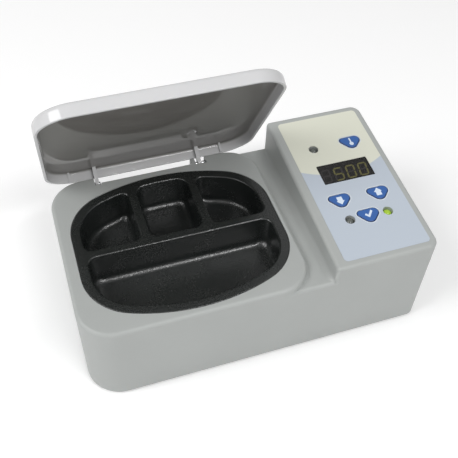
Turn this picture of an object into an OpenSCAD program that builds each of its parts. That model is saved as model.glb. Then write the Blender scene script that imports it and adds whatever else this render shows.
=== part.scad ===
// Wax heater for a dental laboratory.
// A light grey moulded housing has a raised seat on the left and a wedge console on the right.
// The seat holds a dark cast bath with four wells, and a shallow tray lid closes over it.
// Frame: the origin is the centre of the housing's footprint on the table.
// +X runs to the console, +Y to the back and +Z up. The lid stands open as in the rest pose.

/* [Housing] */
// Overall width of the housing
body_w = 193.2; // [186:0.1:212]
// Overall depth of the housing
body_d = 110; // [108:0.1:122]
// Height of the raised seat above the table
seat_z = 57.5; // [56.5:0.1:62]
// Height of the lower strip between seat and console
strip_z = 53.5; // [52:0.1:54.5]
// Width of the raised seat and of the lid
seat_w = 123.2; // [122:0.1:126]
// Corner radius of the seat, the lid and the left end of the housing
corner_r = 19; // [16:0.5:20]
// Corner radius of the console end
console_corner_r = 6; // [4:0.5:8]
// Wall thickness of the mouldings
wall = 2.4; // [2:0.1:2.6]
// Radius of the rounded top edges
edge_r = 2.2; // [1.5:0.1:2.6]
// Height of the housing's lower rim above the table
rim_z = 2; // [1.5:0.1:2.5]

/* [Console] */
// Width of the console
console_w = 59.8; // [59:0.1:62]
// Height of the console's top at the front
console_front_z = 64.6; // [63:0.1:68]
// Height of the console's top at the back
console_back_z = 74.1; // [72:0.1:78]
// Thickness of the console's sloping top
console_top = 3; // [2.8:0.1:3.4]
// Travel of a key
key_travel = 0.5; // [0.2:0.05:0.6]

/* [Bath] */
// Half width of the bath's rim
bath_half_w = 56.4; // [55:0.1:57]
// Half depth of the bath's rim
bath_half_d = 48.35; // [47:0.05:48.6]
// Radius of the curved front and back of the bath
bath_arc_r = 105; // [95:1:130]
// Corner radius of the bath
bath_corner_r = 29; // [24:0.5:32]
// Width of the flat rim around the wells
bath_rim = 5; // [4.8:0.1:6]
// Depth of the wells
well_depth = 19.5; // [16:0.1:20]
// Thickness of the dividers between the wells
divider = 4.6; // [4:0.1:6]

/* [Lid] */
// Height of the lid's outside
lid_h = 7.6; // [7:0.1:10]
// Wall thickness of the lid
lid_wall = 1.6; // [1.4:0.1:1.8]
// Angle to which the lid stands open
lid_open = 59.35; // [0:0.05:110]

/* [Nodes] */
// Node to build

/* [Hidden] */
$fn = 96;
gap = 0.3;
eps = 0.01;

left_x = -body_w / 2;
right_x = body_w / 2;
front_y = -body_d / 2;
back_y = body_d / 2;
seat_right_x = left_x + seat_w;
console_x = right_x - console_w;
console_slope = atan((console_back_z - console_front_z) / body_d);
roof_z = seat_z - wall;

// The bath sits a little to the front right of the seat's middle, to leave room for the hinge.
bath_x = left_x + 63.45;
bath_y = front_y + 4.1 + bath_half_d;
bath_top_z = seat_z - 0.1;
flange_z = seat_z - 2.2;
ledge_z = flange_z - 2.4;
well_floor_z = bath_top_z - well_depth;
bath_under_z = well_floor_z - 1.6;
well_mid_y = bath_y + 1.1;
well_divider_x = 17.5;

// Heater stack under the bath.
pad_z = bath_under_z - 1.6;
pan_floor_z = bath_under_z - 9.8;
boss_pitch_x = 40;
boss_pitch_y = 26;
lead_hole_x = bath_x + 20;
lead_hole_y = bath_y - 10;
sensor_x = bath_x + 39;

// Hinge of the lid.
hinge_y = back_y - 2.4;
hinge_z = seat_z - 3.5;
pin_r = 1;
arm_t = 2.2;
left_arm_x = left_x + 27.7;
right_arm_x = left_x + 89.7;
arm_eye_r = 2.3;
notch_y = back_y - 5.6;
slot_y = back_y - 6.6;
notch_left_x = left_arm_x - 0.5;
notch_right_x = right_arm_x - 4.1;
slot_left_x = right_arm_x - 1.8;
slot_right_x = right_arm_x + 4.7;
pocket_z = seat_z - 13;
lid_rim_z = seat_z + gap;

// Fixing points.
left_boss_x = left_x + 12.6;
right_boss_x = right_x - 8.6;
left_boss_y = back_y - 11;
right_boss_y = back_y - 8.5;
right_boss_h = 8.8;
plate_z = rim_z + 0.6;
plate_top_z = plate_z + 2.4;
board_z = plate_top_z + 6.1;
board_top_z = board_z + 1.6;

// Positions on the console's sloping top: u to the right from its left wall, s up the slope.
label_u = [5.5, 55.8];
label_s = [3.9, 106.2];
window_at = [31.1, 62];
window_size = [31, 13.8];
upper_led_at = [19.3, 81.9];
lower_left_led_at = [19.3, 28.8];
lower_right_led_at = [42, 28.8];
units_key_at = [42.7, 81.7];
down_key_at = [19.1, 42.4];
up_key_at = [42.2, 41.9];
set_key_at = [30.4, 28.8];
led_places = [upper_led_at, lower_left_led_at, lower_right_led_at];
key_places = [units_key_at, down_key_at, up_key_at, set_key_at];
board_u = [7.5, 54];
board_s = [7, 102];
board_screw_places = [[11, 10.5], [50.5, 10.5], [11, 98.5], [50.5, 98.5]];
control_top_n = -12;
control_under_n = control_top_n - 1.6;
key_floor_n = -1.9;
key_under_n = -1.1;

// Positions at the back of the console.
inlet_x = console_x + 19.2;
switch_x = console_x + 44.2;
inlet_z = 26;

// A block given by its low and high corners.
module block(low, high) {
    translate(low)
        cube(high - low);
}

// Flat rectangle with one corner radius on the left and one on the right.
module plate_outline(x0, x1, y0, y1, r_left, r_right) {
    translate([x0 + r_left, y0])
        square([x1 - x0 - r_left - r_right, y1 - y0]);
    translate([x0, y0 + r_left])
        square([r_left + eps, y1 - y0 - 2 * r_left]);
    translate([x1 - r_right - eps, y0 + r_right])
        square([r_right + eps, y1 - y0 - 2 * r_right]);
    for (y = [y0 + r_left, y1 - r_left])
        translate([x0 + r_left, y])
            circle(r_left);
    for (y = [y0 + r_right, y1 - r_right])
        translate([x1 - r_right, y])
            circle(r_right);
}

// Slot with round ends, its length along Y.
module slot_outline(half_l, r) {
    square([2 * r, 2 * (half_l - r)], center = true);
    for (y = [r - half_l, half_l - r])
        translate([0, y])
            circle(r);
}

// Slab with rounded upright corners and a rounded top edge.
module soft_slab(x0, x1, y0, y1, z0, z1, r, edge) {
    translate([0, 0, z0])
        linear_extrude(z1 - z0 - edge)
            plate_outline(x0, x1, y0, y1, r, r);
    translate([0, 0, z0])
        linear_extrude(z1 - z0)
            plate_outline(x0 + edge, x1 - edge, y0 + edge, y1 - edge, r - edge, r - edge);
    for (y = [y0 + edge, y1 - edge])
        translate([x0 + r, y, z1 - edge])
            rotate([0, 90, 0])
                cylinder(h = x1 - x0 - 2 * r, r = edge);
    for (x = [x0 + edge, x1 - edge])
        translate([x, y0 + r, z1 - edge])
            rotate([-90, 0, 0])
                rotate([0, 0, 90])
                    cylinder(h = y1 - y0 - 2 * r, r = edge);
    for (x = [x0 + r, x1 - r])
        for (y = [y0 + r, y1 - r])
            translate([x, y, z1 - edge])
                rotate_extrude()
                    translate([r - edge, 0])
                        circle(edge);
}

// Quarter of the bath's outline from its right side to the middle of its back, widened by grow.
function bath_quarter(grow, steps) =
    let (
        corner_x = bath_half_w - bath_corner_r,
        inner_r = bath_arc_r - bath_corner_r,
        arc_y = bath_half_d - bath_arc_r,
        corner_y = arc_y + sqrt(inner_r * inner_r - corner_x * corner_x),
        turn = acos(corner_x / inner_r),
        r = bath_corner_r + grow,
        big_r = bath_arc_r + grow
    )
    concat(
        [for (i = [0 : steps]) [corner_x + r * cos(turn * i / steps), corner_y + r * sin(turn * i / steps)]],
        [for (i = [1 : steps]) let (a = turn + (90 - turn) * i / steps) [big_r * cos(a), arc_y + big_r * sin(a)]]
    );

// Outline of the bath: straight sides, curved front and back, round corners; grow widens it.
module bath_outline(grow, steps = 14) {
    q = bath_quarter(grow, steps);
    last = len(q) - 1;
    translate([bath_x, bath_y])
        polygon(concat(
            q,
            [for (i = [last - 1 : -1 : 0]) [-q[i][0], q[i][1]]],
            [for (i = [0 : last]) [-q[i][0], -q[i][1]]],
            [for (i = [last - 1 : -1 : 0]) [q[i][0], -q[i][1]]]
        ));
}

// Ring between two bath outlines.
module bath_ring(outer, inner, z0, z1) {
    translate([0, 0, z0])
        linear_extrude(z1 - z0)
            difference() {
                bath_outline(outer);
                bath_outline(inner);
            }
}

// Frame on the console's sloping top: X to the right, Y up the slope, Z out of the surface.
module on_console() {
    translate([console_x, front_y, console_front_z])
        rotate([console_slope, 0, 0])
            children();
}

// Point of a key's outline where it faces angle a: two corners away from the user and a round foot.
function key_point(a, grow) =
    let (
        facing = [cos(a), sin(a)],
        left = [-3.9, 1.9],
        right = [3.4, 1.3],
        foot = [0.1, -0.9],
        left_reach = left * facing + 2.2,
        right_reach = right * facing + 2.9,
        foot_reach = foot * facing + 3.7
    )
    left_reach > max(right_reach, foot_reach) ? left + (2.2 + grow) * facing
        : right_reach > foot_reach ? right + (2.9 + grow) * facing
        : foot + (3.7 + grow) * facing;

// Outline of a key, a rounded triangle that points towards the user.
module key_outline(grow) {
    polygon([for (a = [0 : 5 : 355]) key_point(a, grow)]);
}

// Round wire along a list of points.
module wire(points, r) {
    for (i = [0 : len(points) - 2]) {
        step = points[i + 1] - points[i];
        reach = norm(step);
        translate(points[i])
            rotate([0, acos(step[2] / reach), atan2(step[1], step[0])])
                cylinder(h = reach, r = r, $fn = 24);
    }
    for (i = [1 : len(points) - 2])
        translate(points[i])
            sphere(r * 1.25, $fn = 24);
}

// Pan head screw pointing up, the underside of its head at the origin.
module screw_up(shaft_r, shaft_l, head_r, head_h) {
    difference() {
        union() {
            translate([0, 0, -head_h])
                cylinder(h = head_h, r = head_r);
            translate([0, 0, -eps])
                cylinder(h = shaft_l, r = shaft_r);
        }
        for (turn = [0, 90])
            rotate([0, 0, turn])
                block([-head_r * 0.6, -0.35, -head_h - eps], [head_r * 0.6, 0.35, -head_h * 0.45]);
    }
}

// Section of the console's inside, below its sloping top.
module console_profile(drop, inset) {
    low_z = console_front_z - drop / cos(console_slope) + inset * tan(console_slope);
    high_z = console_back_z - drop / cos(console_slope) - inset * tan(console_slope);
    polygon([
        [front_y + inset, rim_z - 1],
        [back_y - inset, rim_z - 1],
        [back_y - inset, high_z],
        [front_y + inset, low_z]
    ]);
}

// Height of the centres of the console's rounded top edges, a distance y behind its front.
function top_at(y) = console_front_z + y * tan(console_slope) - edge_r / cos(console_slope);

// Outline with round corners on the left and a square end on the right.
module left_end_outline(x0, x1, y0, y1, r) {
    translate([x0 + r, y0])
        square([x1 - x0 - r, y1 - y0]);
    translate([x0, y0 + r])
        square([r + eps, y1 - y0 - 2 * r]);
    for (y = [y0 + r, y1 - r])
        translate([x0 + r, y])
            circle(r);
}

// Outline with round corners on the right and a square end on the left.
module right_end_outline(x0, x1, y0, y1, r) {
    mirror([1, 0])
        left_end_outline(-x1, -x0, y0, y1, r);
}

// Prism of a profile drawn in Y and Z, running along X.
module along_x(x0, x1) {
    translate([x0, 0, 0])
        rotate([90, 0, 90])
            linear_extrude(x1 - x0)
                children();
}

// Wedge of the console with all its top edges rounded.
module console_block() {
    reach = console_w - edge_r;
    hull() {
        translate([0, 0, rim_z])
            linear_extrude(strip_z - rim_z)
                plate_outline(console_x, right_x, front_y, back_y, edge_r, console_corner_r);
        for (end = [[front_y + edge_r, edge_r], [back_y - edge_r, body_d - edge_r]])
            translate([console_x + edge_r, end[0], top_at(end[1])])
                sphere(edge_r, $fn = 32);
        for (end = [[front_y + console_corner_r, console_corner_r],
                [back_y - console_corner_r, body_d - console_corner_r]])
            translate([right_x - console_corner_r, end[0], top_at(end[1])])
                rotate([console_slope, 0, 0])
                    rotate_extrude($fn = 48)
                        translate([console_corner_r - edge_r, 0])
                            circle(edge_r, $fn = 24);
    }
}

// Hollow fillet where the console's wall rises from the strip.
module console_foot_fillet() {
    r = 2.6;
    translate([console_x, front_y + 4, strip_z])
        rotate([-90, 0, 0])
            linear_extrude(body_d - 8)
                difference() {
                    translate([-r * 0.85, -r * 0.85])
                        square([r * 0.85 + 0.6, r * 0.85 + 0.6]);
                    translate([-r * 0.98, -r * 0.98])
                        circle(r);
                }
}

// Raised seat with rounded corners and a rounded top edge.
module seat_block() {
    hull() {
        translate([0, 0, rim_z])
            linear_extrude(1)
                plate_outline(left_x, seat_right_x, front_y, back_y, corner_r, corner_r);
        for (x = [left_x + corner_r, seat_right_x - corner_r])
            for (y = [front_y + corner_r, back_y - corner_r])
                translate([x, y, seat_z - edge_r])
                    rotate_extrude()
                        translate([corner_r - edge_r, 0])
                            circle(edge_r, $fn = 24);
    }
}

// Low strip between seat and console, with its front and back edges rounded.
module strip_block() {
    hull() {
        block([left_x + 60, front_y, rim_z], [console_x + 4, back_y, strip_z - edge_r]);
        for (y = [front_y + edge_r, back_y - edge_r])
            translate([left_x + 60, y, strip_z - edge_r])
                rotate([0, 90, 0])
                    cylinder(h = console_x + 4 - left_x - 60, r = edge_r, $fn = 24);
    }
}

module housing_outside() {
    seat_block();
    strip_block();
    console_block();
    console_foot_fillet();
}

module housing_inside() {
    translate([0, 0, rim_z - 1])
        linear_extrude(strip_z - wall - rim_z + 1)
            left_end_outline(left_x + wall, console_x + wall, front_y + wall, back_y - wall,
                corner_r - wall);
    translate([0, 0, strip_z - wall])
        linear_extrude(roof_z - strip_z + wall)
            plate_outline(left_x + wall, seat_right_x - wall, front_y + wall, back_y - wall,
                corner_r - wall, corner_r - wall);
    intersection() {
        translate([0, 0, rim_z - 2])
            linear_extrude(console_back_z)
                right_end_outline(console_x + wall, right_x - wall, front_y + wall, back_y - wall,
                    console_corner_r - wall);
        along_x(console_x + wall, right_x)
            console_profile(console_top, wall);
    }
}

// Bosses for the base screws.
module housing_bosses() {
    for (y = [-left_boss_y, left_boss_y])
        translate([left_boss_x, y, 7.1])
            cylinder(h = roof_z - 7, r = 4);
    for (y = [-right_boss_y, right_boss_y]) {
        translate([right_boss_x, y, 7.1])
            cylinder(h = right_boss_h, r = 4);
        block([right_boss_x, y - 1, 8], [right_x - 1, y + 1, right_boss_h + 7.1]);
    }
    on_console()
        for (place = board_screw_places)
            translate([place[0], place[1], control_top_n + 0.05])
                cylinder(h = -control_top_n - console_top + 0.5, r = 2.8);
}

// Walls that line the hinge pocket behind the bath.
module hinge_lining() {
    block([notch_left_x - 2.6, notch_y - 1.9, pocket_z - 2], [slot_right_x + 2.6, back_y - 1, roof_z + 0.5]);
}

module hinge_pocket() {
    block([notch_left_x, notch_y, pocket_z], [notch_right_x, back_y + 1, seat_z + 1]);
    block([slot_left_x, slot_y, pocket_z], [slot_right_x, back_y + 1, seat_z + 1]);
    block([notch_left_x, slot_y, pocket_z], [left_arm_x + arm_t + 1, notch_y + 1, seat_z + 1]);
    for (span = [[notch_left_x - 2.4, notch_left_x + 1], [notch_right_x, slot_right_x + 2.4]])
        translate([span[0], hinge_y, hinge_z])
            rotate([0, 90, 0])
                cylinder(h = span[1] - span[0], r = pin_r + 0.03);
}

// Pocket for the label and the openings through the console's top.
module console_openings() {
    on_console() {
        translate([0, 0, -0.45])
            linear_extrude(2)
                plate_outline(label_u[0], label_u[1], label_s[0], label_s[1], 2.3, 2.3);
        translate([window_at[0], window_at[1], -2])
            cube([window_size[0] + 0.4, window_size[1] + 0.4, 12], center = true);
        for (place = led_places)
            translate([place[0], place[1], -8])
                cylinder(h = 10, r = 2.85);
        for (place = key_places) {
            translate([place[0], place[1], key_floor_n])
                linear_extrude(4)
                    key_outline(0.35);
            translate([place[0], place[1], -8])
                cylinder(h = 10, r = 2.2);
        }
        for (place = board_screw_places)
            translate([place[0], place[1], control_top_n - 1])
                cylinder(h = 9, r = 1.25);
    }
}

module back_cutouts() {
    block([inlet_x - 13.8, back_y - wall - 1, inlet_z - 10.1], [inlet_x + 13.8, back_y + 1, inlet_z + 10.1]);
    block([switch_x - 6.6, back_y - wall - 1, inlet_z - 9.7], [switch_x + 6.6, back_y + 1, inlet_z + 9.7]);
}

module top_housing() {
    color([0.65, 0.66, 0.65])
        difference() {
            union() {
                difference() {
                    housing_outside();
                    housing_inside();
                }
                bath_ring(3, -3.1, ledge_z, flange_z);
                hinge_lining();
                housing_bosses();
            }
            translate([0, 0, flange_z])
                linear_extrude(10)
                    bath_outline(0.25);
            translate([0, 0, ledge_z - 1])
                linear_extrude(10)
                    bath_outline(-3.1);
            hinge_pocket();
            console_openings();
            back_cutouts();
            for (y = [-left_boss_y, left_boss_y])
                translate([left_boss_x, y, 6])
                    cylinder(h = 16, r = 1.55);
            for (y = [-right_boss_y, right_boss_y])
                translate([right_boss_x, y, 6])
                    cylinder(h = 16, r = 1.55);
        }
}

module at_base_screws() {
    for (y = [-left_boss_y, left_boss_y])
        translate([left_boss_x, y, 0])
            children();
    for (y = [-right_boss_y, right_boss_y])
        translate([right_boss_x, y, 0])
            children();
}

module at_feet() {
    for (y = [-(left_boss_y - 8), left_boss_y - 8])
        translate([left_boss_x + 6, y, 0])
            children();
    for (y = [-(right_boss_y - 8.5), right_boss_y - 8.5])
        translate([right_boss_x - 8, y, 0])
            children();
}

module at_board_screws() {
    for (x = [console_x + 9.7, console_x + 44.7])
        for (y = [-36.5, 20.5])
            translate([x, y, 0])
                children();
}

module base_plate() {
    color([0.28, 0.29, 0.3])
        difference() {
            union() {
                translate([0, 0, plate_z])
                    linear_extrude(plate_top_z - plate_z)
                        plate_outline(left_x + wall + gap, right_x - wall - gap,
                            front_y + wall + gap, back_y - wall - gap,
                            corner_r - wall - gap, console_corner_r - wall - gap);
                at_base_screws()
                    translate([0, 0, plate_z])
                        cylinder(h = 7 - plate_z, r = 5);
                at_board_screws()
                    translate([0, 0, plate_z + 1])
                        cylinder(h = board_z - plate_z - 1.1, r = 3.4);
            }
            at_base_screws() {
                translate([0, 0, plate_z - 1])
                    cylinder(h = 3.2, r = 3.5);
                translate([0, 0, plate_z - 1])
                    cylinder(h = 10, r = 1.7);
            }
            at_feet()
                translate([0, 0, plate_z - 1])
                    cylinder(h = 2, r = 6.2);
            at_board_screws()
                translate([0, 0, plate_z + 3.4])
                    cylinder(h = 12, r = 1.25);
            for (i = [0 : 8])
                translate([bath_x - 32 + 8 * i, bath_y + 14, plate_z - 1])
                    linear_extrude(6)
                        slot_outline(14, 1.3);
            for (i = [0 : 4])
                translate([console_x + 16 + 7 * i, 2, plate_z - 1])
                    linear_extrude(6)
                        slot_outline(11, 1.3);
        }
}

module feet() {
    color([0.09, 0.09, 0.09])
        at_feet() {
            translate([0, 0, 0.8])
                cylinder(h = plate_z + 0.1, r = 6);
            cylinder(h = 2, r = 5.2);
            translate([0, 0, 0.8])
                rotate_extrude()
                    translate([5.2, 0])
                        circle(0.8, $fn = 32);
        }
}

module base_screws() {
    color([0.7, 0.71, 0.72])
        at_base_screws()
            translate([0, 0, plate_z + 2.15])
                screw_up(1.5, 11, 2.9, 2);
}

module rating_plate() {
    color([0.8, 0.8, 0.8])
        translate([0, 0, plate_z - 0.22])
            linear_extrude(0.2)
                plate_outline(bath_x - 26, bath_x + 26, bath_y - 36, bath_y - 8, 2, 2);
}

// One well, cut as the space between shrinking outlines from its mouth down to its floor.
module well_slice(z, inset, low, high, fillet) {
    translate([0, 0, z])
        linear_extrude(0.01)
            offset(r = fillet)
                offset(delta = -fillet)
                    intersection() {
                        bath_outline(-bath_rim - inset, steps = 8);
                        translate([low[0] + inset, low[1] + inset])
                            square([high[0] - low[0] - 2 * inset, high[1] - low[1] - 2 * inset]);
                    }
}

module well(low, high) {
    fillet = 5;
    hull() {
        well_slice(bath_top_z + 0.5, -0.5, low, high, fillet);
        well_slice(bath_top_z - 0.9, 0.3, low, high, fillet);
        well_slice(well_floor_z + 4.2, 1, low, high, fillet);
        well_slice(well_floor_z + 1.9, 1.8, low, high, fillet);
        well_slice(well_floor_z + 0.6, 3.1, low, high, fillet);
        well_slice(well_floor_z, 5, low, high, fillet - 1);
    }
}

module at_pan_bosses() {
    for (side = [-1, 1])
        for (end = [-1, 1])
            translate([bath_x + side * boss_pitch_x, bath_y + end * boss_pitch_y, 0])
                children();
}

module wax_bath() {
    half = divider / 2;
    far = bath_half_w + 10;
    color([0.15, 0.15, 0.155])
        difference() {
            union() {
                translate([0, 0, flange_z])
                    linear_extrude(bath_top_z - flange_z)
                        bath_outline(0);
                translate([0, 0, bath_under_z])
                    linear_extrude(flange_z - bath_under_z + eps)
                        bath_outline(-3.5);
                at_pan_bosses()
                    translate([0, 0, pan_floor_z + 1.1])
                        cylinder(h = bath_under_z - pan_floor_z, r = 3.4);
            }
            well([bath_x - far, bath_y - far], [bath_x + far, well_mid_y - half]);
            well([bath_x - far, well_mid_y + half], [bath_x - well_divider_x - half, bath_y + far]);
            well([bath_x - well_divider_x + half, well_mid_y + half],
                [bath_x + well_divider_x - half, bath_y + far]);
            well([bath_x + well_divider_x + half, well_mid_y + half], [bath_x + far, bath_y + far]);
            at_pan_bosses()
                translate([0, 0, pan_floor_z])
                    cylinder(h = 8, r = 1.3);
        }
}

module heating_pad() {
    color([0.75, 0.32, 0.16]) {
        difference() {
            translate([0, 0, pad_z])
                linear_extrude(1.5)
                    plate_outline(bath_x - 34, bath_x + 34, bath_y - 36, bath_y + 36, 4, 4);
            translate([lead_hole_x, lead_hole_y, pad_z - 1])
                cylinder(h = 0.9 + 1, r = 4);
        }
    }
}

module at_lead_holes() {
    translate([lead_hole_x, lead_hole_y, 0])
        children();
    translate([sensor_x, bath_y, 0])
        children();
}

module insulation_blanket() {
    color([0.9, 0.89, 0.84])
        difference() {
            translate([0, 0, pan_floor_z + 1.1])
                linear_extrude(ledge_z - pan_floor_z - 2.4)
                    bath_outline(-1.2);
            translate([0, 0, pad_z - 0.1])
                linear_extrude(60)
                    bath_outline(-3.4);
            at_pan_bosses()
                translate([0, 0, pan_floor_z])
                    cylinder(h = 30, r = 3.7);
            at_lead_holes()
                translate([0, 0, pan_floor_z])
                    cylinder(h = 30, r = 3.8);
            block([bath_x - 45.5, bath_y - 8, pad_z - 3.4], [bath_x - 36.5, bath_y + 8, pad_z + 1]);
            block([sensor_x - 4.6, bath_y - 6, pad_z - 3.4], [sensor_x + 4.6, bath_y + 6, pad_z + 1]);
        }
}

module heat_shield_pan() {
    color([0.72, 0.73, 0.74])
        difference() {
            union() {
                bath_ring(0, -1, pan_floor_z, ledge_z - 1.1);
                bath_ring(0.6, -1, ledge_z - 1.1, ledge_z - 0.1);
                translate([0, 0, pan_floor_z])
                    linear_extrude(1)
                        bath_outline(-0.5);
            }
            at_pan_bosses()
                translate([0, 0, pan_floor_z - 1])
                    cylinder(h = 4, r = 1.7);
            at_lead_holes()
                translate([0, 0, pan_floor_z - 1])
                    cylinder(h = 4, r = 3.2);
        }
}

module pan_screws() {
    color([0.7, 0.71, 0.72])
        at_pan_bosses()
            translate([0, 0, pan_floor_z - 0.05])
                screw_up(1.25, 7, 2.8, 1.9);
}

module temperature_sensor() {
    color([0.75, 0.75, 0.76]) {
        block([sensor_x - 4.2, bath_y - 5.5, bath_under_z - 1.2], [sensor_x + 4.2, bath_y + 5.5, bath_under_z - 0.1]);
        translate([sensor_x, bath_y - 4.5, bath_under_z - 2.9])
            rotate([-90, 0, 0])
                cylinder(h = 9, r = 1.8);
    }
}

module thermal_fuse() {
    color([0.8, 0.72, 0.4]) {
        translate([bath_x - 41, bath_y - 5, bath_under_z - 2.2])
            rotate([-90, 0, 0])
                cylinder(h = 10, r = 1.9);
        for (y = [-7.2, 4.9])
            translate([bath_x - 41, bath_y + y, bath_under_z - 2.2])
                rotate([-90, 0, 0])
                    cylinder(h = 2.3, r = 0.5, $fn = 24);
    }
}

// The lid is drawn closed and then swung open about its hinge.
module lid_closed() {
    inner_top_z = lid_rim_z + lid_h - lid_wall;
    difference() {
        soft_slab(left_x, seat_right_x, front_y, back_y, lid_rim_z, lid_rim_z + lid_h, corner_r, 3);
        soft_slab(left_x + lid_wall, seat_right_x - lid_wall, front_y + lid_wall, back_y - lid_wall,
            lid_rim_z - 4, inner_top_z, corner_r - lid_wall, 1.4);
    }
    for (x = [left_arm_x, right_arm_x])
        difference() {
            union() {
                block([x, back_y - 5, lid_rim_z], [x + arm_t, back_y - lid_wall + 0.2, inner_top_z + 0.2]);
                block([x, hinge_y - arm_eye_r, hinge_z], [x + arm_t, hinge_y + 1, lid_rim_z + eps]);
                translate([x, hinge_y, hinge_z])
                    rotate([0, 90, 0])
                        cylinder(h = arm_t, r = arm_eye_r);
            }
            translate([x - 1, hinge_y, hinge_z])
                rotate([0, 90, 0])
                    cylinder(h = arm_t + 2, r = pin_r + 0.06);
        }
    for (x = [left_arm_x - 14.5, right_arm_x + 15.5])
        block([x, back_y - lid_wall - 1.8, lid_rim_z + 0.4], [x + 1.2, back_y - lid_wall + 0.2, inner_top_z + 0.2]);
}

module lid() {
    color([0.74, 0.75, 0.76])
        translate([0, hinge_y, hinge_z])
            rotate([-lid_open, 0, 0])
                translate([0, -hinge_y, -hinge_z])
                    lid_closed();
}

module hinge_pins() {
    color([0.78, 0.79, 0.8])
        for (span = [[notch_left_x - 2.3, left_arm_x + arm_t + 0.9], [notch_right_x + 0.1, slot_right_x + 2.3]])
            translate([span[0], hinge_y, hinge_z])
                rotate([0, 90, 0])
                    cylinder(h = span[1] - span[0], r = pin_r);
}

module control_label() {
    color([0.83, 0.84, 0.84])
        on_console()
            difference() {
                translate([0, 0, -0.4])
                    linear_extrude(0.45)
                        plate_outline(label_u[0] + 0.05, label_u[1] - 0.05, label_s[0] + 0.05,
                            label_s[1] - 0.05, 2.3, 2.3);
                translate([window_at[0] - window_size[0] / 2 - 0.1, window_at[1] - window_size[1] / 2 - 0.1, -2])
                    cube([window_size[0] + 0.2, window_size[1] + 0.2, 4]);
                for (place = led_places)
                    translate([place[0], place[1], -2])
                        cylinder(h = 4, r = 2.85);
                for (place = key_places)
                    translate([place[0], place[1], -2])
                        linear_extrude(4)
                            key_outline(0.25);
            }
}

module display_window() {
    color([0.1, 0.1, 0.1, 0.8])
        on_console()
            translate([0, 0, -2.6])
                linear_extrude(2.6)
                    plate_outline(window_at[0] - window_size[0] / 2, window_at[0] + window_size[0] / 2,
                        window_at[1] - window_size[1] / 2, window_at[1] + window_size[1] / 2, 0.7, 0.7);
}

module display_module() {
    color([0.12, 0.12, 0.12])
        on_console() {
            translate([window_at[0] - 15.1, window_at[1] - 7, -10.2])
                cube([30.2, 14, 7.2]);
            for (s = [-5.1, 5.1])
                translate([window_at[0] - 13, window_at[1] + s - 1.2, control_top_n])
                    cube([26, 2.4, 2]);
        }
}

// A key: a rounded triangular pad with a stem that runs down into its switch.
module key_at(place) {
    on_console()
        translate([place[0], place[1], 0]) {
            translate([0, 0, key_under_n])
                linear_extrude(1.5)
                    key_outline(0);
            translate([0, 0, 0.35])
                linear_extrude(0.25)
                    key_outline(-0.5);
            translate([0, 0, -9.4])
                cylinder(h = 9, r = 1.8);
        }
}

module units_key() {
    color([0.15, 0.33, 0.62])
        key_at(units_key_at);
}

module up_key() {
    color([0.15, 0.33, 0.62])
        key_at(up_key_at);
}

module down_key() {
    color([0.15, 0.33, 0.62])
        key_at(down_key_at);
}

module set_key() {
    color([0.15, 0.33, 0.62])
        key_at(set_key_at);
}

module led_at(place) {
    on_console()
        translate([place[0], place[1], 0]) {
            translate([0, 0, -8])
                cylinder(h = 1, r = 2.8);
            translate([0, 0, -8])
                cylinder(h = 5, r = 2.5);
            translate([0, 0, -3])
                sphere(2.5);
        }
}

module upper_led() {
    color([0.3, 0.32, 0.3])
        led_at(upper_led_at);
}

module lower_left_led() {
    color([0.3, 0.32, 0.3])
        led_at(lower_left_led_at);
}

module lower_right_led() {
    color([0.6, 0.7, 0.25])
        led_at(lower_right_led_at);
}

module led_spacers() {
    color([0.1, 0.1, 0.1])
        on_console()
            for (place = led_places)
                translate([place[0], place[1], control_top_n + 0.05])
                    difference() {
                        cylinder(h = 3.9, r = 2.6);
                        translate([0, 0, -1])
                            cylinder(h = 6, r = 1);
                    }
}

module key_switches() {
    color([0.14, 0.14, 0.15])
        on_console()
            for (place = key_places)
                difference() {
                    translate([place[0] - 3, place[1] - 3, control_top_n + 0.05])
                        cube([6, 6, 3.6]);
                    translate([place[0], place[1], control_top_n + 1.6])
                        cylinder(h = 4, r = 2.1);
                }
}

module control_board() {
    color([0.1, 0.36, 0.2])
        on_console()
            difference() {
                translate([board_u[0], board_s[0], control_under_n])
                    cube([board_u[1] - board_u[0], board_s[1] - board_s[0], 1.6]);
                for (place = board_screw_places)
                    translate([place[0], place[1], control_under_n - 1])
                        cylinder(h = 4, r = 1.5);
            }
}

module control_board_screws() {
    color([0.7, 0.71, 0.72])
        on_console()
            for (place = board_screw_places)
                translate([place[0], place[1], control_under_n - 0.05])
                    screw_up(1.2, 7, 2.4, 1.6);
}

module controller_chip() {
    color([0.08, 0.08, 0.08])
        on_console()
            translate([31, 84, control_under_n - 3.45]) {
                cube([18, 7.5, 3.4], center = false);
            }
}

module power_board() {
    color([0.1, 0.36, 0.2])
        difference() {
            block([console_x + 6.2, -40, board_z], [console_x + 48.2, 24, board_top_z]);
            at_board_screws()
                translate([0, 0, board_z - 1])
                    cylinder(h = 4, r = 1.5);
        }
}

module power_board_screws() {
    color([0.7, 0.71, 0.72])
        at_board_screws()
            translate([0, 0, board_top_z + 0.05])
                rotate([180, 0, 0])
                    screw_up(1.2, 6.2, 2.6, 1.8);
}

module transformer_core() {
    color([0.35, 0.35, 0.37])
        difference() {
            block([console_x + 15, -30, board_top_z + 0.1], [console_x + 43, -20, board_top_z + 26]);
            for (x = [console_x + 18.6, console_x + 33.6])
                block([x, -31, board_top_z + 4], [x + 5.8, -19, board_top_z + 22]);
        }
}

module transformer_coil() {
    color([0.75, 0.62, 0.25])
        difference() {
            block([console_x + 19, -35, board_top_z + 4.3], [console_x + 39, -15, board_top_z + 21.7]);
            block([console_x + 24.2, -36, board_top_z], [console_x + 33.8, -14, board_top_z + 30]);
        }
}

module relay() {
    color([0.1, 0.25, 0.5])
        block([console_x + 13.2, 2, board_top_z + 0.1], [console_x + 32.2, 17.5, board_top_z + 15.4]);
}

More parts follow.
